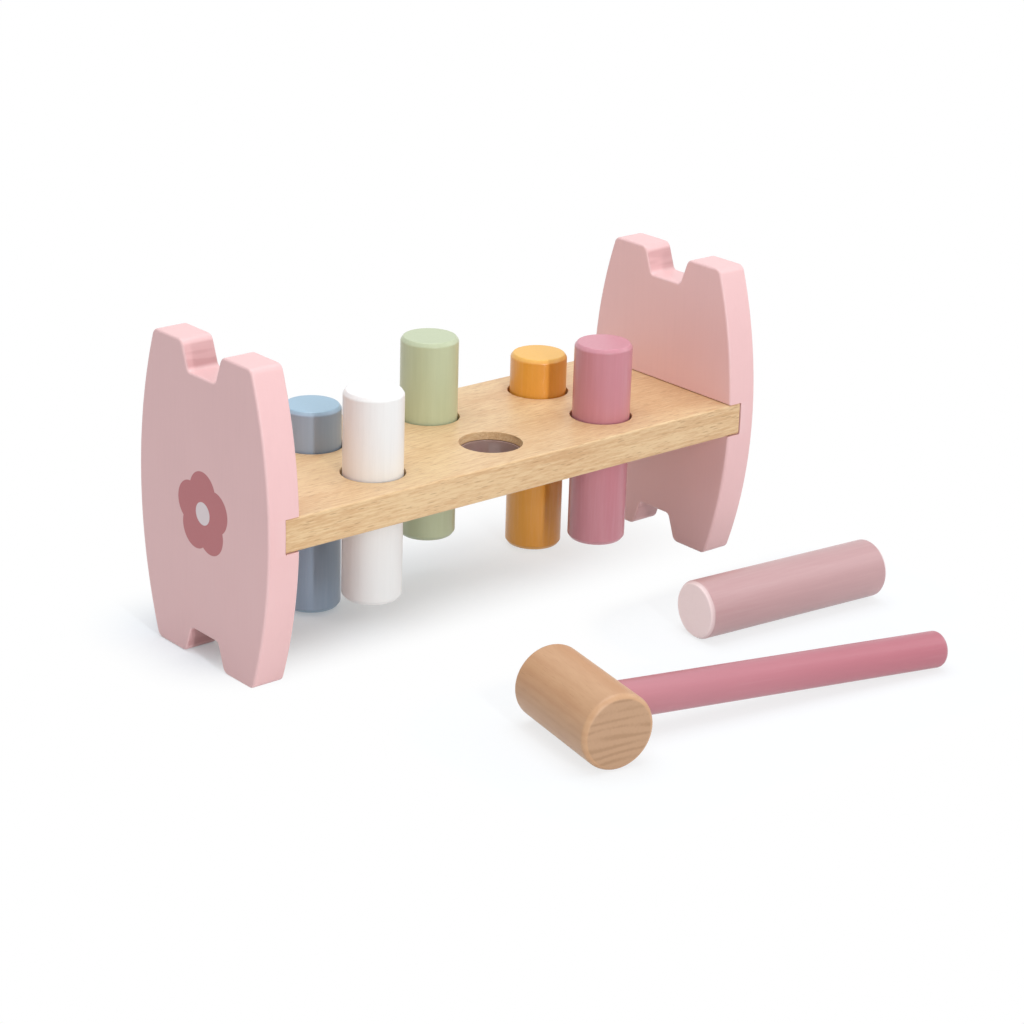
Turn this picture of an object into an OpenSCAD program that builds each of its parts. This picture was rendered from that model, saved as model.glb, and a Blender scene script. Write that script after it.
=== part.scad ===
// Peg pounding bench: a board on two end panels, five pegs driven part way
// through it, one peg and the mallet lying in front.
// Millimetres, +Z up, the floor at z = 0, X along the board, front at -Y.
// The origin is on the floor under the middle of the whole set.

/* [End panels] */
// Length of the bench over both end panels
bench_len = 241; // [190:1:320]
// Height of the end panels
panel_h = 122; // [100:1:160]
// Thickness of the end panels
panel_t = 13.7; // [11:0.1:20]
// Depth of a panel at half its height
panel_mid_depth = 82.8; // [74:0.1:110]
// Depth of a panel across its ears and across its feet
panel_end_depth = 61.5; // [50:0.1:72]
// Width of a notch at its mouth
notch_mouth = 25; // [20:0.5:32]
// Width of a notch at its root
notch_root = 17; // [12:0.5:20]
// Depth of a notch
notch_depth = 11; // [6:0.5:18]
// Corner radius of the ears and the feet
ear_r = 3.2; // [1:0.1:5]
// Corner radius at the root of a notch
notch_r = 2.2; // [0.5:0.1:3]
// Radius of the rounded edges round a panel
panel_edge_r = 1.2; // [0.4:0.1:2]

/* [Board] */
// Thickness of the board
board_t = 13; // [11:0.1:18]
// How far the long edges of the board stay behind the sides of the panels
board_inset = 0.4; // [0.1:0.1:2]
// Height of the underside of the board above the floor
board_z = 54.5; // [40:0.5:75]
// Radius of the rounded long edges of the board
board_edge_r = 0.8; // [0.2:0.1:2]
// Depth of the grooves in the panels that hold the board
dado_depth = 6; // [3:0.5:7]
// Gap round the board in its grooves
dado_gap = 0.05; // [0.02:0.01:0.2]

/* [Dowels] */
// Diameter of the hidden dowels
dowel_d = 6; // [4:0.5:7]
// Distance between the two dowels of one panel
dowel_pitch = 48; // [30:1:56]
// Depth of a dowel in the end of the board
dowel_in_board = 15; // [8:1:20]
// Depth of a dowel in a panel, past the groove
dowel_in_panel = 4; // [2:0.5:4.5]
// Gap round a dowel and at each of its ends
dowel_gap = 0.05; // [0.02:0.01:0.1]

/* [Peg holes] */
// Diameter of a peg hole in the board
hole_d = 24.7; // [24:0.1:26]
// Chamfer round the rims of the peg holes
hole_chamfer = 0.3; // [0.1:0.1:1]
// Distance between the peg holes along the board
hole_pitch_x = 57; // [40:0.5:66]
// Distance between the two rows of peg holes
hole_pitch_y = 38.5; // [32:0.5:44]
// Distance from the middle of the board back to the middle of the holes
hole_shift = 0.6; // [0:0.1:2]

/* [Grip rings] */
// Outer diameter of the grip ring inside each hole
ring_d = 28; // [26.5:0.1:30]
// Height of a grip ring
ring_h = 6; // [3:0.5:8]
// Gap round a grip ring in its groove
ring_gap = 0.05; // [0.02:0.01:0.1]
// Gap between a peg and the ring that grips it
peg_gap = 0.05; // [0.02:0.01:0.1]

/* [Pegs] */
// Diameter of a peg
peg_d = 23; // [20:0.1:23.6]
// Length of a peg in the board
peg_len = 82; // [74:0.5:90]
// Length of the loose peg
loose_peg_len = 88.5; // [70:0.5:100]
// Radius of the rounded rims of a peg
peg_edge_r = 1.2; // [0.3:0.1:3]
// Height of the blue peg above the board
blue_up = 16.1; // [12:0.1:60]
// Height of the white peg above the board
white_up = 32.3; // [12:0.1:60]
// Height of the green peg above the board
green_up = 33; // [12:0.1:60]
// Height of the orange peg above the board
orange_up = 15.9; // [12:0.1:60]
// Height of the rose peg above the board
rose_up = 30.2; // [12:0.1:60]
// Middle of the loose peg, right of the middle of the bench
loose_peg_x = 86.5; // [60:0.5:120]
// Middle of the loose peg, in front of the middle of the bench
loose_peg_front = 96.3; // [75:0.5:110]
// Turn of the loose peg from the length of the bench
loose_peg_turn = -5.8; // [-20:0.1:10]

/* [Mallet] */
// Diameter of the mallet head
head_d = 28.6; // [24:0.1:34]
// Length of the mallet head
head_len = 49.4; // [40:0.1:60]
// Radius of the rounded rims of the head
head_edge_r = 2; // [0.5:0.1:4]
// Diameter of the handle
handle_d = 14; // [10:0.1:16]
// Distance from the axis of the head to the far end of the handle
handle_reach = 156.3; // [120:0.5:190]
// Radius of the rounded far end of the handle
handle_edge_r = 2.4; // [0.5:0.1:4]
// Wood left in the head past the blind hole of the handle
head_wall = 5; // [3:0.5:8]
// Gap round the handle in the head
handle_gap = 0.05; // [0.02:0.01:0.1]
// Middle of the mallet head, left of the middle of the bench
mallet_left = 53.6; // [30:0.5:80]
// Middle of the mallet head, in front of the middle of the bench
mallet_front = 135.6; // [125:0.5:160]
// Turn of the handle from the length of the bench
mallet_turn = -11.1; // [-16:0.1:0]

/* [Hidden] */
$fn = 96;
// Steps in a quarter round of a panel's edge, a corner of its outline and half of its side
edge_steps = 3;
corner_steps = 6;
side_steps = 10;
// Overrun of every cut
over = 1;

// Colours
beech = [0.91, 0.76, 0.58];
pale_pink = [0.90, 0.74, 0.75];
rubber_grey = [0.55, 0.47, 0.45];
rose_pink = [0.80, 0.51, 0.57];

// Board
board_len = bench_len - 2 * (panel_t - dado_depth + dado_gap);
board_w = panel_mid_depth - 2 * board_inset;
board_top = board_z + board_t;
board_mid = board_z + board_t / 2;

// Places of the dowels as shares of their distance
front_share = -1/2;
back_share = 1/2;
dowel_shares = [front_share, back_share];

// The side of a panel is an arc through its middle and its two ends
side_rise = (panel_mid_depth - panel_end_depth) / 2;
side_r = (pow(panel_h / 2, 2) + pow(side_rise, 2)) / (2 * side_rise);

// Places of the holes as shares of the two pitches: left to right, front to back
blue_share = [-1, 1/2];
white_share = [-1, -1/2];
green_share = [0, 1/2];
empty_share = [0, -1/2];
orange_share = [1, 1/2];
rose_share = [1, -1/2];
hole_shares = [blue_share, white_share, green_share, empty_share, orange_share, rose_share];
function holePlace(share) = [share.x * hole_pitch_x, share.y * hole_pitch_y + hole_shift];

// Mallet: the handle dips until its far end rests on the floor
head_r = head_d / 2;
handle_r = handle_d / 2;
handle_inner = head_r - head_wall;
dip_run = handle_reach - handle_edge_r;
dip_drop = handle_r - handle_edge_r;
handle_dip = asin((head_r - handle_edge_r) / norm([dip_run, dip_drop])) - atan2(dip_drop, dip_run);

// How far a round bar with rounded rims reaches along a direction, where
// lean is the share of its axis that lies along that direction
function barReach(half, r, edge, lean) = (half - edge) * lean + (r - edge) * sqrt(1 - lean * lean) + edge;

// Ends of the whole set, seen from the middle of the bench
loose_side = barReach(loose_peg_len / 2, peg_d / 2, peg_edge_r, cos(loose_peg_turn));
head_side = barReach(head_len / 2, head_r, head_edge_r, abs(sin(mallet_turn)));
head_front = barReach(head_len / 2, head_r, head_edge_r, cos(mallet_turn));
handle_side = barReach(handle_reach, handle_r, handle_edge_r, cos(mallet_turn) * cos(handle_dip));
handle_front = barReach(handle_reach, handle_r, handle_edge_r, -sin(mallet_turn) * cos(handle_dip));
set_right = max(bench_len / 2, loose_peg_x + loose_side, handle_side - mallet_left);
set_left = max(bench_len / 2, mallet_left + head_side);
set_front = mallet_front + max(head_front, handle_front);
set_back = panel_mid_depth / 2;
bench_place = [(set_left - set_right) / 2, (set_front - set_back) / 2, 0];

// Points of an arc from one angle to another, each with the angle of its
// outward normal; a negative radius makes the arc hollow
function arc(centre, r, from, to, steps) = [for (i = [0:steps])
    let (a = from + (to - from) * i / steps) [centre.x + r * cos(a), centre.y + r * sin(a), a]];

// Upper right quarter of a panel's outline, from the middle of its side over
// the ear and down into the notch, each round tangent to its neighbours
panel_top = panel_h / 2;
side_centre = [panel_mid_depth / 2 - side_r, 0];
ear_level = panel_top - ear_r;
ear_outer = [side_centre.x + sqrt(pow(side_r - ear_r, 2) - pow(ear_level, 2)), ear_level];
ear_turn = atan2(ear_level, ear_outer.x - side_centre.x);
flare = atan((notch_mouth - notch_root) / 2 / notch_depth);
corner_share = (1 - sin(flare)) / cos(flare);
ear_inner = [notch_mouth / 2 + ear_r * corner_share, ear_level];
root_centre = [notch_root / 2 - notch_r * corner_share, panel_top - notch_depth + notch_r];
panel_quarter = concat(
    arc(side_centre, side_r, 0, ear_turn, side_steps),
    cut(arc(ear_outer, ear_r, ear_turn, 90, corner_steps)),
    arc(ear_inner, ear_r, 90, 180 - flare, corner_steps),
    arc(root_centre, -notch_r, 180 - flare, 90, corner_steps));

// All points but the first, and the same backwards
function cut(points) = [for (i = [1:len(points) - 1]) points[i]];
function backwards(points) = [for (i = [len(points) - 1:-1:1]) points[i]];
function flipAcross(points) = [for (p = points) [-p.x, p.y, 180 - p.z]];
function flipDown(points) = [for (p = points) [p.x, -p.y, -p.z]];
panel_outline = concat(
    panel_quarter, backwards(flipAcross(panel_quarter)),
    flipAcross(flipDown(panel_quarter)), backwards(flipDown(panel_quarter)));

// Plate with its outline in the YZ plane and its edges rounded: rings of
// points follow the outline, drawn in along its normals towards both faces
module roundedPlate(outline, thickness, edge) {
    turns = [for (i = [0:edge_steps]) 90 * i / edge_steps];
    levels = concat(
        [for (a = turns) [edge * (1 - cos(a)), edge * (1 - sin(a))]],
        [for (a = turns) [thickness - edge * (1 - sin(a)), edge * (1 - cos(a))]]);
    count = len(outline);
    last = len(levels) - 1;
    middle = (last + 1) * count;
    polyhedron(
        concat(
            [for (level = levels, p = outline)
                [level.x, p.x - level.y * cos(p.z), p.y - level.y * sin(p.z)]],
            [[0, 0, 0], [thickness, 0, 0]]),
        [for (i = [0:count - 1]) let (next = (i + 1) % count) each concat(
            [[middle, i, next], [middle + 1, last * count + next, last * count + i]],
            [for (k = [0:count:(last - 1) * count])
                each [[k + i, k + count + i, k + count + next], [k + i, k + count + next, k + next]]])]);
}

module endPanel() {
    color(pale_pink) difference() {
        translate([0, 0, panel_h / 2]) roundedPlate(panel_outline, panel_t, panel_edge_r);
        translate([panel_t - dado_depth, -panel_mid_depth / 2 - over, board_z - dado_gap])
            cube([dado_depth + over, panel_mid_depth + 2 * over, board_t + 2 * dado_gap]);
        for (share = dowel_shares)
            dowelBar(share, panel_t - dado_depth - dowel_in_panel, dowel_in_panel + over, dowel_d / 2);
    }
}

// A round bar along X, at the place of one dowel
module dowelBar(share, start, length, r) {
    translate([start, share * dowel_pitch, board_mid]) rotate([0, 90, 0]) cylinder(h = length, r = r);
}

module dowel(share) {
    start = panel_t - dado_depth - dowel_in_panel + dowel_gap;
    length = dowel_in_panel + dado_gap + dowel_in_board - 2 * dowel_gap;
    color(beech) dowelBar(share, start, length, dowel_d / 2 - dowel_gap);
}

// Both ends of the bench are made at its left end and mirrored for the right
module atEnd(right) {
    translate(bench_place) mirror([right ? 1 : 0, 0, 0]) translate([-bench_len / 2, 0, 0]) children();
}

// Rectangle with round corners, made of exact arcs
module roundedOutline(size, r) {
    square([size.x - 2 * r, size.y], center = true);
    square([size.x, size.y - 2 * r], center = true);
    for (side = [-1, 1], level = [-1, 1])
        translate([side * (size.x / 2 - r), level * (size.y / 2 - r)]) circle(r);
}

module benchBoard() {
    color(beech) translate(bench_place) difference() {
        translate([-board_len / 2, 0, board_mid]) rotate([90, 0, 90])
            linear_extrude(board_len) roundedOutline([board_w, board_t], board_edge_r);
        for (share = hole_shares) translate(holePlace(share)) {
            translate([0, 0, board_z - over]) cylinder(h = board_t + 2 * over, d = hole_d);
            translate([0, 0, board_mid - ring_h / 2 - ring_gap])
                cylinder(h = ring_h + 2 * ring_gap, d = ring_d + 2 * ring_gap);
            for (flip = [0, 1]) translate([0, 0, board_mid]) mirror([0, 0, flip]) holeChamfer();
        }
        for (flip = [0, 1], share = dowel_shares) mirror([flip, 0, 0])
            dowelBar(share, -board_len / 2 - over, dowel_in_board + over, dowel_d / 2);
    }
}

// The cone that breaks the rim of a peg hole, above the middle of the board
module holeChamfer() {
    translate([0, 0, board_t / 2 - hole_chamfer])
        cylinder(h = hole_chamfer + over, r1 = hole_d / 2, r2 = hole_d / 2 + hole_chamfer + over);
}

module gripRing(share) {
    color(rubber_grey) translate(bench_place + [0, 0, board_mid - ring_h / 2]) translate(holePlace(share))
        difference() {
            cylinder(h = ring_h, d = ring_d);
            translate([0, 0, -over]) cylinder(h = ring_h + 2 * over, d = peg_d + 2 * peg_gap);
        }
}

// Round bar with rounded rims, turned on the lathe, standing on its end
module turnedBar(length, r, edge) {
    rotate_extrude() {
        square([r - edge, length]);
        translate([0, edge]) square([r, length - 2 * edge]);
        for (level = [edge, length - edge]) translate([r - edge, level]) circle(edge);
    }
}

module seatedPeg(share, up, paint) {
    color(paint) translate(bench_place + [0, 0, board_top + up - peg_len]) translate(holePlace(share))
        turnedBar(peg_len, peg_d / 2, peg_edge_r);
}

module loosePeg() {
    color([0.91, 0.78, 0.79])
        translate(bench_place + [loose_peg_x, -loose_peg_front, peg_d / 2]) rotate([0, 90, loose_peg_turn])
            translate([0, 0, -loose_peg_len / 2]) turnedBar(loose_peg_len, peg_d / 2, peg_edge_r);
}

// The mallet is made with its head along Y and its handle along +X
module malletPlace() {
    translate(bench_place + [-mallet_left, -mallet_front, head_r]) rotate([0, handle_dip, mallet_turn]) children();
}

module malletHead() {
    color(beech) malletPlace() difference() {
        rotate([90, 0, 0]) translate([0, 0, -head_len / 2]) turnedBar(head_len, head_r, head_edge_r);
        translate([-handle_inner, 0, 0]) rotate([0, 90, 0])
            cylinder(h = handle_inner + head_r + over, r = handle_r + handle_gap);
    }
}

module malletHandle() {
    inner = handle_inner - handle_gap;
    color(rose_pink) malletPlace() rotate([0, 90, 0]) rotate_extrude() {
        translate([0, -inner]) square([handle_r, inner + handle_reach - handle_edge_r]);
        square([handle_r - handle_edge_r, handle_reach]);
        translate([handle_r - handle_edge_r, handle_reach - handle_edge_r]) circle(handle_edge_r);
    }
}

benchBoard();  // bench_board
atEnd(false) endPanel();  // left_end_panel
atEnd(true) endPanel();  // right_end_panel
atEnd(false) dowel(front_share);  // left_front_dowel
atEnd(false) dowel(back_share);  // left_back_dowel
atEnd(true) dowel(front_share);  // right_front_dowel
atEnd(true) dowel(back_share);  // right_back_dowel
gripRing(blue_share);  // grip_ring_blue
gripRing(white_share);  // grip_ring_white
gripRing(green_share);  // grip_ring_green
gripRing(orange_share);  // grip_ring_orange
gripRing(rose_share);  // grip_ring_rose
gripRing(empty_share);  // grip_ring_empty
seatedPeg(blue_share, blue_up, [0.66, 0.77, 0.84]);  // peg_blue
seatedPeg(white_share, white_up, [0.95, 0.95, 0.94]);  // peg_white
seatedPeg(green_share, green_up, [0.80, 0.83, 0.68]);  // peg_green
seatedPeg(orange_share, orange_up, [0.88, 0.60, 0.29]);  // peg_orange
seatedPeg(rose_share, rose_up, [0.84, 0.58, 0.61]);  // peg_rose
loosePeg();  // peg_pale_pink
malletHead();  // mallet_head
malletHandle();  // mallet_handle
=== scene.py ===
from math import asin, atan, atan2, cos, pi, radians, sin, sqrt

import bmesh
import bpy
from mathutils import Matrix, Vector


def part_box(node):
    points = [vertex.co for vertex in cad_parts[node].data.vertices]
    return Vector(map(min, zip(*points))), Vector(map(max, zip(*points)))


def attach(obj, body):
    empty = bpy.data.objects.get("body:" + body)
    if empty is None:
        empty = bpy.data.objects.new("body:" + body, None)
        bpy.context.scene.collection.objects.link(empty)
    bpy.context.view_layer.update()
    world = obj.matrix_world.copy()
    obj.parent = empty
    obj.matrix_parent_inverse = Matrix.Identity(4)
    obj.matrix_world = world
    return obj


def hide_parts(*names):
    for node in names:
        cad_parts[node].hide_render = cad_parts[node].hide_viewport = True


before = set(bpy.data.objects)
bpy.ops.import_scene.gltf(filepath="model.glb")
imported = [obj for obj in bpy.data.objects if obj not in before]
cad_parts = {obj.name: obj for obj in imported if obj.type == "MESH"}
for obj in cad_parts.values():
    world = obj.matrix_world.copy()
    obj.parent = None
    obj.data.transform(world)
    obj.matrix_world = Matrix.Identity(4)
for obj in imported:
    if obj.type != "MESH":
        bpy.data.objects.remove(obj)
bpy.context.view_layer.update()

mm = 0.001
samePoint = 0.0001 * mm  # points that lie closer are merged
smoothAngle = 38  # degrees: sharper edges stay edges

scene = bpy.context.scene
scene.view_settings.view_transform = "Standard"

boardLow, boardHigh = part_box("bench_board")
benchMiddle = Vector(((boardLow.x + boardHigh.x) / 2, (boardLow.y + boardHigh.y) / 2, 0))
across, depth, upward = Vector((1, 0, 0)), Vector((0, 1, 0)), Vector((0, 0, 1))

# camera: fitted to the picture, aimed at a point over the middle of the bench
cameraPlace = {
    "azimuth": -40.833,  # degrees from the front, negative to the left
    "elevation": 20.774,
    "roll": 1.795,
    "distance": 1054.84,
    "aimHeight": 60,
    "aimRight": 21.252,
    "aimUp": -24.677,
    "focalPixels": 2699.1,
    "picturePixels": 1024,
    "sensor": 36,
}


def placeCamera(values):
    turn, rise, roll = (radians(values[key]) for key in ("azimuth", "elevation", "roll"))
    back = Vector((sin(turn) * cos(rise), -cos(turn) * cos(rise), sin(rise)))
    level = Vector((cos(turn), sin(turn), 0))
    upright = back.cross(level)
    right = cos(roll) * level + sin(roll) * upright
    top = -sin(roll) * level + cos(roll) * upright
    aim = upward * values["aimHeight"] + level * values["aimRight"] + upright * values["aimUp"]
    data = bpy.data.cameras.new("benchCamera")
    data.sensor_width = values["sensor"]
    data.lens = values["sensor"] * values["focalPixels"] / values["picturePixels"]
    camera = bpy.data.objects.new("benchCamera", data)
    scene.collection.objects.link(camera)
    place = benchMiddle + (aim + back * values["distance"]) * mm
    turned = Matrix((right, top, back)).transposed().to_4x4()
    camera.matrix_world = Matrix.Translation(place) @ turned
    scene.camera = camera


placeCamera(cameraPlace)
print("camera placed")


# A socket that can be used in sums: each sign adds one Math node
class Wire:
    def __init__(self, finish, socket):
        self.finish, self.socket = finish, socket

    def __add__(self, other):
        return self.finish.math("ADD", self, other)

    def __sub__(self, other):
        return self.finish.math("SUBTRACT", self, other)

    def __rsub__(self, other):
        return self.finish.math("SUBTRACT", other, self)

    def __mul__(self, other):
        return self.finish.math("MULTIPLY", self, other)

    def __pow__(self, other):
        return self.finish.math("POWER", self, other)

    __radd__, __rmul__ = __add__, __mul__

    def larger(self, other):
        return self.finish.math("MAXIMUM", self, other)

    def smaller(self, other):
        return self.finish.math("MINIMUM", self, other)

    def wave(self):  # a sine that swings from 0 to 1
        return self.finish.math("SINE", self) * 0.5 + 0.5

    def ramp(self, start, end):  # 0 at the start, 1 at the end, smooth between them
        return self.finish.node("MapRange", {"interpolation_type": "SMOOTHSTEP"},
                                {"Value": self, "From Min": start, "From Max": end})


def distanceTo(sideways, high):
    return (sideways * sideways + high * high) ** 0.5


noiseMiddle = 0.5  # the value round which the noise varies
markCore = 0.45  # share of a small mark's radius that has its full tone


class Finish:
    def __init__(self, owner):  # a material, or the world
        owner.use_nodes = True
        self.owner, self.tree = owner, owner.node_tree
        self.tree.nodes.clear()

    def node(self, kind, settings=None, sockets=None, out=0):
        made = self.tree.nodes.new("ShaderNode" + kind)
        for key, value in (settings or {}).items():
            setattr(made, key, value)
        for key, value in (sockets or {}).items():
            if isinstance(value, Wire):
                self.tree.links.new(value.socket, made.inputs[key])
            else:
                made.inputs[key].default_value = value
        return Wire(self, made.outputs[out])

    def math(self, operation, first, second=0):
        return self.node("Math", {"operation": operation}, {0: first, 1: second})

    def bump(self, height, relief, strength):
        return self.node("Bump", None, {"Height": height, "Distance": relief * mm, "Strength": strength})

    def mix(self, share, first, second):  # sockets 6 and 7 take its colours, 2 gives the mixed one
        return self.node("Mix", {"data_type": "RGBA"}, {0: share, 6: first, 7: second}, out=2)

    def vector(self, operation, first, second):
        return self.node("VectorMath", {"operation": operation}, {0: first, 1: second})

    def split(self, place):
        first = self.node("SeparateXYZ", None, {0: place})
        return [Wire(self, output) for output in first.socket.node.outputs]

    # Millimetres from a point, turned so that X runs along the grain
    def grainPlace(self, middle, axis):
        here = self.node("TexCoord", out="Object")
        turn = Vector(axis).rotation_difference(across)
        shift = turn @ -Vector(middle) / mm
        return self.node("Mapping", None, {"Vector": here, "Location": shift,
                                           "Rotation": turn.to_euler(), "Scale": (1 / mm,) * 3})

    def noise(self, place, stretch, detail=2, roughness=0.5):
        drawn = self.vector("MULTIPLY", place, stretch)
        return self.node("TexNoise", None, {"Vector": drawn, "Scale": 1, "Detail": detail,
                                            "Roughness": roughness})

    # Small marks, one in each cell on average, long along the grain
    def marks(self, place, cell, size):
        drawn = self.vector("DIVIDE", place, cell)
        near = self.node("TexVoronoi", None, {"Vector": drawn, "Scale": 1, "Randomness": 1})
        return 1 - near.ramp(size * markCore, size)

    # How far a surface turns to the ends of its piece, from a start to a full turn, and the rim
    # between side and end, which is 1 halfway
    def endAndRim(self, start, full):
        facing = self.node("Attribute", {"attribute_name": "facing"}, out="Fac")
        square = facing * facing
        return square.ramp(start, full), square * (1 - square) * 4

    def close(self, sockets, kind="BsdfPrincipled", output="Material"):
        shader = self.node(kind, None, sockets)
        ending = self.tree.nodes.new("ShaderNodeOutput" + output)
        self.tree.links.new(shader.socket, ending.inputs["Surface"])
        return self.owner


def newFinish(name):
    return Finish(bpy.data.materials.new(name))


def paint(red, green, blue):  # 0 to 255 as a colour picker shows it, to linear light
    shares = [value / 255 for value in (red, green, blue)]
    return tuple(share / 12.92 if share < 0.04 else ((share + 0.055) / 1.055) ** 2.4
                 for share in shares) + (1,)


white, black = paint(255, 255, 255), paint(0, 0, 0)

# beech: X runs along the grain, the growth rings lie round an axis beside the piece
boardBeech = {
    "pale": paint(233, 204, 160),
    "warm": paint(213, 173, 127),
    "dash": paint(170, 126, 86),
    "end": paint(200, 162, 122),
    "endRing": paint(172, 130, 92),
    "ringMiddle": (-14, -62),  # mm from the middle, across the grain
    "ringPitch": 9.5,
    "wander": (0.008, 0.03, 0.03),  # how fast the rings stray, along the grain and across it
    "rings": 0.22,
    "fibres": 2.2,
    "clouds": 0.8,
    "mottle": 0.2,
    "dashes": 0.58,
    "flecks": 0.34,
    "rim": 0,
}
headBeech = {
    "pale": paint(206, 164, 126),
    "warm": paint(194, 148, 110),
    "dash": paint(166, 120, 82),
    "end": paint(188, 150, 118),
    "endRing": paint(172, 135, 102),
    "ringMiddle": (2, -110),
    "ringPitch": 3,
    "wander": (0.008, 0.03, 0.13),
    "rings": 0.2,
    "fibres": 0.6,
    "clouds": 0.7,
    "mottle": 0.7,
    "dashes": 0.12,
    "flecks": 0.12,
    "rim": 0.12,
}
beechGrain = {
    # how fast each pattern changes in a mm, along the grain and across it
    "fibres": (0.13, 1.5, 1.5),
    "clouds": (0.012, 0.05, 0.05),
    "mottle": (0.09, 0.28, 0.28),
    "pores": (0.2, 0.9, 0.9),
    "bands": (0.01, 0.05, 0.2),
    "dashCell": (9, 0.9, 0.9),  # mm
    "fleckCell": (5, 0.55, 0.55),
    "markSize": 0.25,  # share of a cell
    "ringDrift": 1.6,  # how far the rings stray, in pitches
    "middleTone": 0.4,
    "endSpan": (0.8, 0.98),  # how far a surface turns to the end where its look starts and is full
    "bandSpan": (0.25, 0.65),
    "poreTone": 0.9,
    "endTone": (-0.1, 1),
    "fibreHeight": 0.5,
    "fleckHeight": 0.4,
    "relief": 0.06,  # mm
    "bump": 0.6,
    "roughness": 0.5,
    "fibreShine": 0.14,
    "coat": 0.12,
    "coatRoughness": 0.35,
}


def beechFinish(name, look, middle, axis):
    wood, grain = newFinish(name), beechGrain
    place = wood.grainPlace(middle, axis)
    wander = wood.noise(place, look["wander"], detail=1) * (look["ringPitch"] * grain["ringDrift"])
    sideways, high = wood.split(place)[1:]
    distance = distanceTo(sideways - look["ringMiddle"][0], high - look["ringMiddle"][1]) + wander
    rings = (distance * (2 * pi / look["ringPitch"])).wave() ** 2
    fibre = wood.noise(place, grain["fibres"], detail=3, roughness=0.65)
    cloud = wood.noise(place, grain["clouds"], detail=1)
    mottle = wood.noise(place, grain["mottle"])
    tone = rings * look["rings"] + (fibre - noiseMiddle) * look["fibres"] + grain["middleTone"]
    tone = tone + (cloud - noiseMiddle) * look["clouds"] + (mottle - noiseMiddle) * look["mottle"]
    colour = wood.mix(tone.ramp(0, 1), look["pale"], look["warm"])
    dashes = wood.marks(place, grain["dashCell"], grain["markSize"])
    flecks = wood.marks(place, grain["fleckCell"], grain["markSize"])
    colour = wood.mix(dashes * look["dashes"] + flecks * look["flecks"], colour, look["dash"])
    onEnd, rim = wood.endAndRim(*grain["endSpan"])
    pores = wood.noise(place, grain["pores"])
    bands = wood.noise(place, grain["bands"], detail=1).ramp(*grain["bandSpan"])
    endTone = (rings * bands + (pores - noiseMiddle) * grain["poreTone"]).ramp(*grain["endTone"])
    colour = wood.mix(onEnd, colour, wood.mix(endTone, look["end"], look["endRing"]))
    # paler on the rounded rims: a painted highlight with a little edge wear
    colour = wood.mix(rim * look["rim"], colour, look["pale"])
    height = fibre * grain["fibreHeight"] - dashes - flecks * grain["fleckHeight"]
    return wood.close({
        "Base Color": colour,
        "Roughness": grain["roughness"] - fibre * grain["fibreShine"],
        "Normal": wood.bump(height, grain["relief"], grain["bump"]),
        "Coat Weight": grain["coat"],
        "Coat Roughness": grain["coatRoughness"],
    })


# lacquer over turned or sawn wood: faint grain below it, paler on the rims as a painted highlight with a
# little edge wear
lacquer = {
    "streaks": (0.05, 0.9, 0.9),  # how fast each pattern changes in a mm
    "clouds": (0.03, 0.06, 0.06),
    "peel": (0.7, 0.7, 0.7),
    "endSpan": (0.16, 0.5),
    "streakHeight": 0.6,
    "peelHeight": 0.4,
    "peelShine": 0.08,
    "relief": 0.05,  # mm
    "coatRoughness": 0.2,
}


def lacquerFinish(name, colours, middle, axis, look, motif=None):
    coat = newFinish(name)
    side, end = colours
    place = coat.grainPlace(middle, axis)
    streaks = coat.noise(place, lacquer["streaks"], detail=3, roughness=0.6)
    cloud = coat.noise(place, lacquer["clouds"], detail=1)
    peel = coat.noise(place, lacquer["peel"], detail=1)
    onEnd, rim = coat.endAndRim(*lacquer["endSpan"])
    # the end colour: on the pegs it is paler, as painted light on the end faces; elsewhere it is the side
    # colour
    colour = coat.mix(onEnd, side, end)
    tone = (streaks - noiseMiddle) * look["streaks"] + (cloud - noiseMiddle) * look["clouds"]
    colour = coat.mix(tone.larger(0), colour, black)
    # lighter where the streaks are pale, and on the rims as a painted highlight with a little edge wear
    colour = coat.mix((0 - tone).larger(0) + rim * look["rim"], colour, white)
    if motif:
        colour = motif(coat, colour, onEnd)
    height = streaks * lacquer["streakHeight"] + peel * lacquer["peelHeight"]
    return coat.close({
        "Base Color": colour,
        "Roughness": look["roughness"] + peel * lacquer["peelShine"],
        "Normal": coat.bump(height, lacquer["relief"], look["bump"]),
        "Coat Weight": look["coat"],
        "Coat Roughness": lacquer["coatRoughness"],
    })


# a profile with rounded corners, turned round the Z axis of its place; radius and height in mm
def addTurned(bm, profile, rounds, place, steps=128, closed=False, roundSteps=5):
    before = set(bm.verts)
    corners = [bm.verts.new(place @ Vector((radius * mm, 0, height * mm))) for radius, height in profile]
    pairs = list(zip(corners, corners[1:] + corners[:1]))
    for pair in pairs if closed else pairs[:-1]:
        bm.edges.new(pair)
    for radius in sorted(set(rounds.values())):
        bmesh.ops.bevel(bm, geom=[corners[i] for i in rounds if rounds[i] == radius],
                        offset=radius * mm, offset_type="OFFSET", segments=roundSteps, profile=0.5,
                        affect="VERTICES", material=-1)
    line = [vert for vert in bm.verts if vert not in before]
    edges = list({edge for vert in line for edge in vert.link_edges})
    bmesh.ops.spin(bm, geom=line + edges, cent=place.translation, axis=place.to_3x3() @ upward,
                   dvec=(0, 0, 0), angle=2 * pi, steps=steps, use_merge=True)
    bmesh.ops.remove_doubles(bm, verts=bm.verts, dist=samePoint)
    bmesh.ops.recalc_face_normals(bm, faces=bm.faces)


def turnedBar(bm, length, width, place, endRound=0):
    radius = width / 2
    addTurned(bm, [(0, 0), (radius, 0), (radius, length), (0, length)],
              {2: endRound} if endRound else {}, place)


def chamferedBar(bm, length, width, chamfer, soft, place):
    radius = width / 2
    inset, height = chamfer
    profile = [(0, 0), (radius - inset, 0), (radius, height), (radius, length - height),
               (radius - inset, length), (0, length)]
    addTurned(bm, profile, {corner: soft for corner in range(1, 5)}, place)


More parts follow.
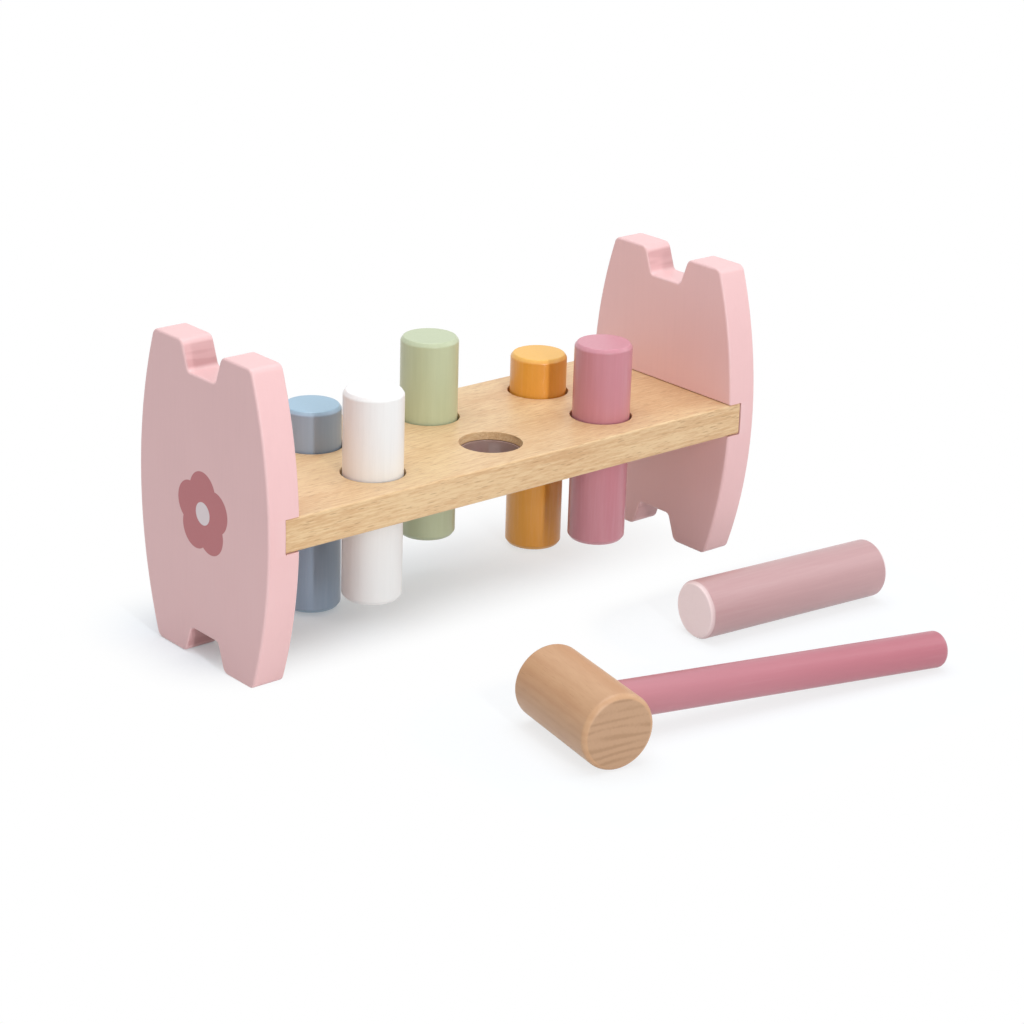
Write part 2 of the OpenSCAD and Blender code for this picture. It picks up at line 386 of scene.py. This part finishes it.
def pullOut(bm, shift):  # the whole outline, drawn out into a block
    raised = bmesh.ops.extrude_face_region(bm, geom=bm.faces[:])["geom"]
    corners = [part for part in raised if isinstance(part, bmesh.types.BMVert)]
    bmesh.ops.translate(bm, vec=shift, verts=corners)
    bmesh.ops.recalc_face_normals(bm, faces=bm.faces)
    return raised


def meshObject(name, bm):
    mesh = bpy.data.meshes.new(name)
    bm.to_mesh(mesh)
    bm.free()
    made = bpy.data.objects.new(name, mesh)
    scene.collection.objects.link(made)
    return made


def cutAway(piece, cutter):
    cut = piece.modifiers.new("cut", "BOOLEAN")
    cut.operation, cut.solver, cut.object = "DIFFERENCE", "EXACT", cutter
    bpy.context.view_layer.update()
    shaped = bpy.data.meshes.new_from_object(piece.evaluated_get(bpy.context.evaluated_depsgraph_get()))
    piece.modifiers.clear()
    piece.data = shaped
    bpy.data.objects.remove(cutter)


def finishPiece(piece, body, node, material, axis):
    mesh = piece.data
    facing = mesh.attributes.new("facing", "FLOAT", "POINT")
    for vertex, value in zip(mesh.vertices, facing.data):
        value.value = min(1, abs(vertex.normal.dot(axis)))
    mesh.shade_smooth()
    mesh.set_sharp_from_angle(angle=radians(smoothAngle))
    weighted = piece.modifiers.new("evenShading", "WEIGHTED_NORMAL")
    weighted.keep_sharp = True
    mesh.materials.clear()
    mesh.materials.append(material)
    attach(piece, body)
    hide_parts(node)


# end panels
panel = {
    "endDepth": 61.5,  # across the ears and across the feet
    "notchMouth": 25,
    "notchRoot": 17,
    "notchDepth": 11,
    "earRound": 3.2,
    "rootRound": 2.2,
    "edgeRound": 0.95,
    "sideSteps": 26,
    "earSteps": 9,
    "rootSteps": 8,
    "edgeSteps": 6,
    "mirrorMerge": 0.001,  # mm within which the mirrored parts of the outline join
    "faceInset": 0.4,  # a narrow ring of faces that keeps the shading of the flat sides even
    "slotRound": 0.4,  # soft mouth of the slot that holds the board
    "slotSteps": 3,
    "slotGap": 0.2,  # above and below the board
    "slotEnd": 0.4,  # past its end
    "dowelGap": 0.05,
    "over": 3,  # how far a cutter stands out
    "stepOut": 0.005,  # its wide part starts this far outside the face
    "colour": paint(240, 197, 198),
}
panelLook = {"streaks": 0.05, "clouds": 0.05, "rim": 0.05, "roughness": 0.36, "bump": 0.5, "coat": 0.15}
dowelNodes = {side: [side + "_front_dowel", side + "_back_dowel"] for side in ("left", "right")}


def arcTo(bm, start, middle, turn, steps):  # in the plane of the panel, back from left to right
    made = bmesh.ops.spin(bm, geom=[start], cent=(0, *middle), axis=across, dvec=(0, 0, 0),
                          angle=turn, steps=steps)
    return next(item for item in made["geom_last"] if isinstance(item, bmesh.types.BMVert))


def lineTo(bm, start, point):
    made = bmesh.ops.extrude_vert_indiv(bm, verts=[start])["verts"][0]
    made.co = (0, *point)
    return made


# a quarter of the outline, from the middle of the back side over the ear to the notch, mirrored twice
def panelShape(low, high):
    height, width, thick = high.z - low.z, high.y - low.y, high.x - low.x
    ear, root = panel["earRound"] * mm, panel["rootRound"] * mm
    rise = (width - panel["endDepth"] * mm) / 2
    sideRadius = ((height / 2) ** 2 + rise ** 2) / (2 * rise)
    sideMiddle = (width / 2 - sideRadius, 0)
    level = height / 2 - ear
    earOuter = (sideMiddle[0] + sqrt((sideRadius - ear) ** 2 - level ** 2), level)
    earTurn = atan2(level, earOuter[0] - sideMiddle[0])
    flare = atan((panel["notchMouth"] - panel["notchRoot"]) / 2 / panel["notchDepth"])
    cornerShare = (1 - sin(flare)) / cos(flare)
    earInner = (panel["notchMouth"] * mm / 2 + ear * cornerShare, level)
    rootLevel = height / 2 - panel["notchDepth"] * mm
    rootMiddle = (panel["notchRoot"] * mm / 2 - root * cornerShare, rootLevel + root)
    bm = bmesh.new()
    tip = arcTo(bm, bm.verts.new((0, width / 2, 0)), sideMiddle, earTurn, panel["sideSteps"])
    tip = arcTo(bm, tip, earOuter, pi / 2 - earTurn, panel["earSteps"])
    tip = lineTo(bm, tip, (earInner[0], height / 2))
    tip = arcTo(bm, tip, earInner, pi / 2 - flare, panel["earSteps"])
    tip = lineTo(bm, tip, (rootMiddle[0] + root * cos(flare), rootMiddle[1] - root * sin(flare)))
    tip = arcTo(bm, tip, rootMiddle, flare - pi / 2, panel["rootSteps"])
    lineTo(bm, tip, (0, rootLevel))
    for side in "YZ":
        bmesh.ops.mirror(bm, geom=bm.verts[:] + bm.edges[:], matrix=Matrix.Identity(4),
                         merge_dist=panel["mirrorMerge"] * mm, axis=side)
    bmesh.ops.contextual_create(bm, geom=bm.edges[:])
    rims = bm.edges[:]
    rims += [part for part in pullOut(bm, across * thick) if isinstance(part, bmesh.types.BMEdge)]
    bmesh.ops.bevel(bm, geom=list(set(rims)), offset=panel["edgeRound"] * mm, offset_type="OFFSET",
                    segments=panel["edgeSteps"], profile=0.5, affect="EDGES", material=-1)
    caps = sorted(bm.faces, key=lambda face: face.calc_area())[-2:]
    bmesh.ops.inset_region(bm, faces=caps, thickness=panel["faceInset"] * mm, use_even_offset=True)
    return bm


# the slot for the board, as the left panel has it: open to the right, with a soft mouth
def slotCutter(low, high):
    bm = bmesh.new()
    over, gap = panel["over"] * mm, panel["slotGap"] * mm
    inner, face = boardLow.x - panel["slotEnd"] * mm, high.x + panel["stepOut"] * mm
    bottom, top = boardLow.z - gap, boardHigh.z + gap
    outline = [(inner, bottom), (face, bottom), (face, bottom - over), (face + over, bottom - over),
               (face + over, top + over), (face, top + over), (face, top), (inner, top)]
    corners = [bm.verts.new((x, low.y - over, z)) for x, z in outline]
    bm.faces.new(corners)
    mouth = [corners[1], corners[6]]
    bmesh.ops.bevel(bm, geom=mouth, offset=panel["slotRound"] * mm, offset_type="OFFSET",
                    segments=panel["slotSteps"], profile=0.5, affect="VERTICES", material=-1)
    pullOut(bm, depth * (high.y - low.y + 2 * over))
    return meshObject("slotCutter", bm)


def dowelHoles(bm, side):
    gap = panel["dowelGap"] * mm
    for node in dowelNodes[side]:
        low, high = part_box(node)
        middle = (low + high) / 2
        place = Matrix.Translation((low.x - gap, middle.y, middle.z)) @ Matrix.Rotation(pi / 2, 4, "Y")
        turnedBar(bm, (high.x - low.x + 2 * gap) / mm, (high.z - low.z + 2 * gap) / mm, place)


# painted shade on the walls of the notches: darker where shade falls in the recess, with a streak or two
# across them
notchPaintedShade = {
    "colour": paint(170, 96, 98),
    "shade": 0.25,
    "streaks": 0.16,
    "streakStretch": (0.05, 0.3, 0.3),
    "streakSpan": (0.45, 0.62),
    "foot": 2,  # mm over which the shade starts above the notch's floor
    "head": (3, 1.4),  # mm below the ear's top, between which it ends
}


def notchShadeMotif(coat, colour, onEnd):
    low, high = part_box("left_end_panel")
    place = coat.grainPlace((low + high) / 2, across)
    sideways, tall = (coat.math("ABSOLUTE", part) for part in coat.split(place)[1:])
    top = (high.z - low.z) / 2 / mm
    root = top - panel["notchDepth"]
    starts, ends = (top - below for below in notchPaintedShade["head"])
    walls = (1 - onEnd) * coat.math("LESS_THAN", sideways, panel["notchMouth"] / 2 + panel["earRound"])
    walls = walls * tall.ramp(root, root + notchPaintedShade["foot"]) * (1 - tall.ramp(starts, ends))
    streaks = coat.noise(place, notchPaintedShade["streakStretch"], detail=1).ramp(*notchPaintedShade["streakSpan"])
    share = walls * (streaks * notchPaintedShade["streaks"] + notchPaintedShade["shade"])
    return coat.mix(share, colour, notchPaintedShade["colour"])


# a plain flower on the outer face: round petals and a pale middle
flower = {
    "height": 59,
    "petals": 5,
    "petal": 8.2,
    "petalReach": 8,
    "middleRound": 4.4,
    "soft": 0.12,  # mm over which its edges fade
    "skin": 3,  # mm below the outer face
    "rose": paint(193, 109, 114),
    "pale": paint(236, 222, 226),
}


def flowerMotif(coat, colour, onEnd):
    # the painted shade in the notches comes first
    colour = notchShadeMotif(coat, colour, onEnd)
    centre = Vector((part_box("left_end_panel")[0].x, benchMiddle.y, flower["height"] * mm))
    inward, sideways, high = coat.split(coat.grainPlace(centre, across))
    middle = distanceTo(sideways, high) - flower["middleRound"]
    petals = middle
    for leaf in range(flower["petals"]):
        turn = pi / 2 + 2 * pi * leaf / flower["petals"]
        off = (sideways - cos(turn) * flower["petalReach"], high - sin(turn) * flower["petalReach"])
        petals = petals.smaller(distanceTo(*off) - flower["petal"])
    soft = flower["soft"]
    painted = petals.ramp(soft, -soft) * coat.math("LESS_THAN", inward, flower["skin"])
    colour = coat.mix(painted, colour, flower["rose"])
    return coat.mix(middle.ramp(soft, -soft) * painted, colour, flower["pale"])


# both panels are made as the left one, and the right one is mirrored
def makePanel(side):
    low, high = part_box("left_end_panel")
    middle = (low + high) / 2
    bm = panelShape(low, high)
    bmesh.ops.translate(bm, vec=(low.x, middle.y, middle.z), verts=bm.verts)
    piece = meshObject(side + "PinkPanel", bm)
    cutAway(piece, slotCutter(low, high))
    holes = bmesh.new()
    dowelHoles(holes, "left")
    cutAway(piece, meshObject("dowelCutter", holes))
    if side == "right":
        flip = Matrix.Translation(benchMiddle) @ Matrix.Scale(-1, 4, across)
        piece.data.transform(flip @ Matrix.Translation(-benchMiddle))
        piece.data.flip_normals()
    # the right panel gets only the painted shade in its notches
    motif = {"left": flowerMotif, "right": notchShadeMotif}[side]
    finish = lacquerFinish(side + "PanelLacquer", (panel["colour"],) * 2, middle, upward, panelLook, motif)
    finishPiece(piece, "bench", side + "_end_panel", finish, across)


for side in dowelNodes:
    makePanel(side)
print("end panels made")

# board
board = {
    "edgeRound": 0.8,
    "edgeSteps": 5,
    "holeWidth": 24.7,
    "holeRound": 0.3,
    "holeSteps": 3,
    "pegGap": 0.05,
    "grooveGap": 0.2,  # round a grip ring in its groove
    "over": 2,  # how far the cutter of a hole stands out
    "stepOut": 0.005,  # its wide parts start this far outside the board
}
ringNames = ("blue", "white", "green", "orange", "rose", "empty")


# the bore of one peg hole, wider where the grip ring lies and rounded at its two mouths
def holeCutter(bm, name):
    low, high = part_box("grip_ring_" + name)
    ringRadius = (high.x - low.x) / 2 / mm + board["grooveGap"]
    ringHalf = (high.z - low.z) / 2 / mm + board["grooveGap"]
    half, over = (boardHigh.z - boardLow.z) / 2 / mm, board["over"]
    radius = board["holeWidth"] / 2
    face = half + board["stepOut"]
    profile = [(0, -half - over), (radius + over, -half - over), (radius + over, -face), (radius, -face),
               (radius, -ringHalf), (ringRadius, -ringHalf), (ringRadius, ringHalf), (radius, ringHalf),
               (radius, face), (radius + over, face), (radius + over, half + over), (0, half + over)]
    mouths = {3: board["holeRound"], 8: board["holeRound"]}
    addTurned(bm, profile, mouths, Matrix.Translation((low + high) / 2), roundSteps=board["holeSteps"])


def makeBoard():
    bm = bmesh.new()
    corners = [bm.verts.new((boardLow.x, y, z)) for y, z in (
        (boardLow.y, boardLow.z), (boardHigh.y, boardLow.z), (boardHigh.y, boardHigh.z),
        (boardLow.y, boardHigh.z))]
    bm.faces.new(corners)
    bmesh.ops.bevel(bm, geom=corners, offset=board["edgeRound"] * mm, offset_type="OFFSET",
                    segments=board["edgeSteps"], profile=0.5, affect="VERTICES", material=-1)
    pullOut(bm, across * (boardHigh.x - boardLow.x))
    piece = meshObject("beechBoard", bm)
    holes = bmesh.new()
    for name in ringNames:
        holeCutter(holes, name)
    for side in dowelNodes:
        dowelHoles(holes, side)
    cutAway(piece, meshObject("holeCutter", holes))
    finish = beechFinish("boardBeech", boardBeech, (boardLow + boardHigh) / 2, across)
    finishPiece(piece, "bench", "bench_board", finish, across)
    for node in dowelNodes["left"] + dowelNodes["right"]:
        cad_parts[node].material_slots[0].material = finish


makeBoard()
print("board made")

# grip rings
ring = {
    "colour": paint(168, 140, 134),
    "shade": paint(148, 122, 117),
    "clouds": (0.4, 0.4, 0.4),
    "cloudShine": 0.1,
    "relief": 0.05,  # mm
    "bump": 0.3,
    "roughness": 0.4,
    "gloss": 0.03,
    "round": 0.12,
}


def rubberFinish():
    rubber = newFinish("gripRubber")
    cloud = rubber.noise(rubber.grainPlace((0, 0, 0), upward), ring["clouds"])
    return rubber.close({
        "Base Color": rubber.mix(cloud, ring["colour"], ring["shade"]),
        "Roughness": ring["roughness"] + cloud * ring["cloudShine"],
        "Normal": rubber.bump(cloud, ring["relief"], ring["bump"]),
        "Coat Weight": 1,
        "Coat Roughness": ring["gloss"],
    })


def makeRings():
    finish = rubberFinish()
    pegLow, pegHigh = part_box("peg_blue")
    inner = (pegHigh.x - pegLow.x) / 2 / mm + board["pegGap"]
    for name in ringNames:
        node = "grip_ring_" + name
        low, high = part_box(node)
        outer, half = (high.x - low.x) / 2 / mm, (high.z - low.z) / 2 / mm
        bm = bmesh.new()
        profile = [(inner, -half), (outer, -half), (outer, half), (inner, half)]
        mouths = {0: ring["round"], 3: ring["round"]}
        addTurned(bm, profile, mouths, Matrix.Translation((low + high) / 2), closed=True)
        finishPiece(meshObject(name + "GripRing", bm), "bench", node, finish, upward)


makeRings()
print("grip rings made")

# pegs
peg = {
    "chamfer": (1.1, 1.5),  # how far in from the side, and along it
    "soft": 0.35,  # rounding of the chamfer's edges
    "looseLength": 88.5,
    "looseTurn": -5.8,  # degrees from the length of the board
    # round the side, and on the two ends, where the paler end colours are painted light falling on the end
    # faces
    "blue": (paint(149, 168, 189), paint(152, 186, 209)),
    "white": (paint(240, 241, 241), paint(245, 245, 245)),
    "green": (paint(191, 201, 165), paint(189, 201, 166)),
    "orange": (paint(231, 161, 59), paint(241, 184, 73)),
    "rose": (paint(200, 132, 144), paint(209, 137, 153)),
    "palePink": (paint(193, 154, 156), paint(255, 233, 234)),
}
pegLook = {"streaks": 0.12, "clouds": 0.05, "rim": 0.04, "roughness": 0.34, "bump": 0.5, "coat": 0.25}


def makePeg(colour):
    node = "peg_" + colour
    low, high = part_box(node)
    middle = (low + high) / 2
    bm = bmesh.new()
    chamferedBar(bm, (high.z - low.z) / mm, (high.x - low.x) / mm, peg["chamfer"], peg["soft"],
                 Matrix.Translation((middle.x, middle.y, low.z)))
    finish = lacquerFinish(colour + "Lacquer", peg[colour], middle, upward, pegLook)
    finishPiece(meshObject(colour + "Peg", bm), colour + "_peg", node, finish, upward)


def makeLoosePeg():
    low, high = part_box("peg_pale_pink")
    middle, length = (low + high) / 2, peg["looseLength"]
    turn = radians(peg["looseTurn"])
    axis = Vector((cos(turn), sin(turn), 0))
    laid = Matrix.Translation(middle) @ axis.to_track_quat("Z", "Y").to_matrix().to_4x4()
    bm = bmesh.new()
    chamferedBar(bm, length, (high.z - low.z) / mm, peg["chamfer"], peg["soft"],
                 laid @ Matrix.Translation(-upward * length / 2 * mm))
    finish = lacquerFinish("palePinkLacquer", peg["palePink"], middle, axis, pegLook)
    finishPiece(meshObject("palePinkPeg", bm), "loose_peg", "peg_pale_pink",
                finish, axis)


for colour in ("blue", "white", "green", "orange", "rose"):
    makePeg(colour)
makeLoosePeg()
print("pegs made")

# mallet: the handle dips from the head until its far end rests on the floor
mallet = {
    "headLength": 49.4,
    "headChamfer": (1.4, 1.4),
    "headSoft": 0.8,
    "handleWidth": 14,
    "handleReach": 156.3,
    "handleRound": 2.4,
    "wall": 5,  # wood left in the head past the blind hole
    "gap": 0.05,
    "turn": -11.1,  # degrees from the length of the board
    "colour": paint(182, 108, 121),
}
handleLook = {"streaks": 0.06, "clouds": 0.04, "rim": 0.06, "roughness": 0.36, "bump": 0.5, "coat": 0.2}


# where the mallet lies: X runs along the handle and Y through the head
def malletPlace(middle, radius):
    run = mallet["handleReach"] - mallet["handleRound"]
    drop = mallet["handleWidth"] / 2 - mallet["handleRound"]
    dip = asin((radius - mallet["handleRound"]) / sqrt(run ** 2 + drop ** 2)) - atan2(drop, run)
    turned = Matrix.Translation(middle) @ Matrix.Rotation(radians(mallet["turn"]), 4, "Z")
    return turned @ Matrix.Rotation(dip, 4, "Y")


def makeMallet():
    low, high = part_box("mallet_head")
    middle, radius = (low + high) / 2, (high.z - low.z) / 2 / mm
    place = malletPlace(middle, radius)
    headAxis = (place.to_3x3() @ depth).normalized()
    handleAxis = (place.to_3x3() @ across).normalized()
    headPlace = place @ Matrix.Rotation(pi / 2, 4, "X")
    handlePlace = place @ Matrix.Rotation(pi / 2, 4, "Y")

    bm = bmesh.new()
    chamferedBar(bm, mallet["headLength"], 2 * radius, mallet["headChamfer"], mallet["headSoft"],
                 headPlace @ Matrix.Translation(-upward * mallet["headLength"] / 2 * mm))
    head = meshObject("malletHead", bm)
    inner = radius - mallet["wall"]
    bm = bmesh.new()
    turnedBar(bm, inner + 2 * radius, mallet["handleWidth"] + 2 * mallet["gap"],
              handlePlace @ Matrix.Translation(-upward * inner * mm))
    cutAway(head, meshObject("boreCutter", bm))
    finish = beechFinish("headBeech", headBeech, middle, headAxis)
    finishPiece(head, "mallet", "mallet_head", finish, headAxis)

    inner -= mallet["gap"]
    bm = bmesh.new()
    turnedBar(bm, inner + mallet["handleReach"], mallet["handleWidth"],
              handlePlace @ Matrix.Translation(-upward * inner * mm), mallet["handleRound"])
    handle = meshObject("malletHandle", bm)
    finish = lacquerFinish("handleLacquer", (mallet["colour"],) * 2, middle, handleAxis, handleLook)
    finishPiece(handle, "mallet", "mallet_handle", finish, handleAxis)


makeMallet()
print("mallet made")

# studio: a white floor, a tall narrow lamp a little left of the front, a soft one to
# the right and a wide one overhead; places and sizes in mm
studio = {
    "floorRadius": 6000,
    "floorSides": 64,
    "floor": paint(218, 218, 218),
    "floorShade": paint(238, 247, 255),  # against the warm light that the bench throws on the floor
    # what the camera sees of the floor is part plain white: how much under the left and the right
    # end of the bench, and by the mallet and the loose peg
    "glow": (0.2, 0.9),
    "glowRise": 1.6,
    "looseGlow": 0.75,
    "shadeDepth": (73, 98),  # front and back of the shade under the bench
    "shadeFade": 45,
    "looseFade": 38,
    "sky": 0.42,
    "keyLamp": {"place": (-276, -1105, 470), "aim": (0, 0, 470), "size": (50, 900), "power": 5.8},
    "fillLamp": {"place": (975, -563, 710), "aim": (0, 0, 60), "size": (700, 700), "power": 2},
    "topLamp": {"place": (0, 100, 1500), "aim": (0, 0, 0), "size": (1300, 1300), "power": 14},
}


def addLamp(name):
    lamp = studio[name]
    data = bpy.data.lights.new(name, "AREA")
    data.shape, data.energy = "RECTANGLE", lamp["power"]
    data.size, data.size_y = (side * mm for side in lamp["size"])
    made = bpy.data.objects.new(name, data)
    scene.collection.objects.link(made)
    place, aim = (benchMiddle + Vector(lamp[key]) * mm for key in ("place", "aim"))
    turned = (place - aim).to_track_quat("Z", "Y").to_matrix().to_4x4()
    made.matrix_world = Matrix.Translation(place) @ turned


def seenOrShiny(look):
    return look.node("LightPath", out="Is Camera Ray").larger(look.node("LightPath", out="Is Glossy Ray"))


# 0 inside a box on the floor, 1 away from it
def outside(place, low, high, fade):
    gaps = [(start - value).larger(value - end).larger(0) for value, start, end in zip(place, low, high)]
    return distanceTo(*gaps).ramp(0, fade)


def makeFloor():
    bm = bmesh.new()
    bmesh.ops.create_circle(bm, cap_ends=True, segments=studio["floorSides"],
                            radius=studio["floorRadius"] * mm)
    floor = meshObject("studioFloor", bm)
    look = newFinish("floorWhite")
    place = look.split(look.grainPlace((0, 0, 0), across))[:2]
    left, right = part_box("left_end_panel")[1].x / mm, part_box("right_end_panel")[0].x / mm
    front, back = studio["shadeDepth"]
    glowLeft, glowRight = studio["glow"]
    run = ((place[0] - left) * (1 / (right - left))).larger(0) ** studio["glowRise"]
    away = outside(place, (left, front), (right, back), studio["shadeFade"])
    glow = away.larger(1 - (1 - away) * (1 - glowLeft - run * (glowRight - glowLeft)))
    for node in ("mallet_head", "mallet_handle", "peg_pale_pink"):
        low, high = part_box(node)
        beside = outside(place, low / mm, high / mm, studio["looseFade"])
        glow = glow.smaller(beside.larger(studio["looseGlow"]))
    matt, shade = (look.node("BsdfDiffuse", None, {"Color": studio[key]}) for key in ("floor", "floorShade"))
    plain = look.node("Emission", None, {"Color": white, "Strength": 1})
    seen = look.node("MixShader", None, {0: glow, 1: shade, 2: plain})
    look.close({0: seenOrShiny(look), 1: matt, 2: seen}, "MixShader")
    floor.data.materials.append(look.owner)


def makeSky():
    scene.world = bpy.data.worlds.new("studioSky")
    sky = Finish(scene.world)
    sky.close({"Color": white, "Strength": seenOrShiny(sky).larger(studio["sky"])}, "Background", "World")


makeFloor()
makeSky()
for name in ("keyLamp", "fillLamp", "topLamp"):
    addLamp(name)
print("studio made")
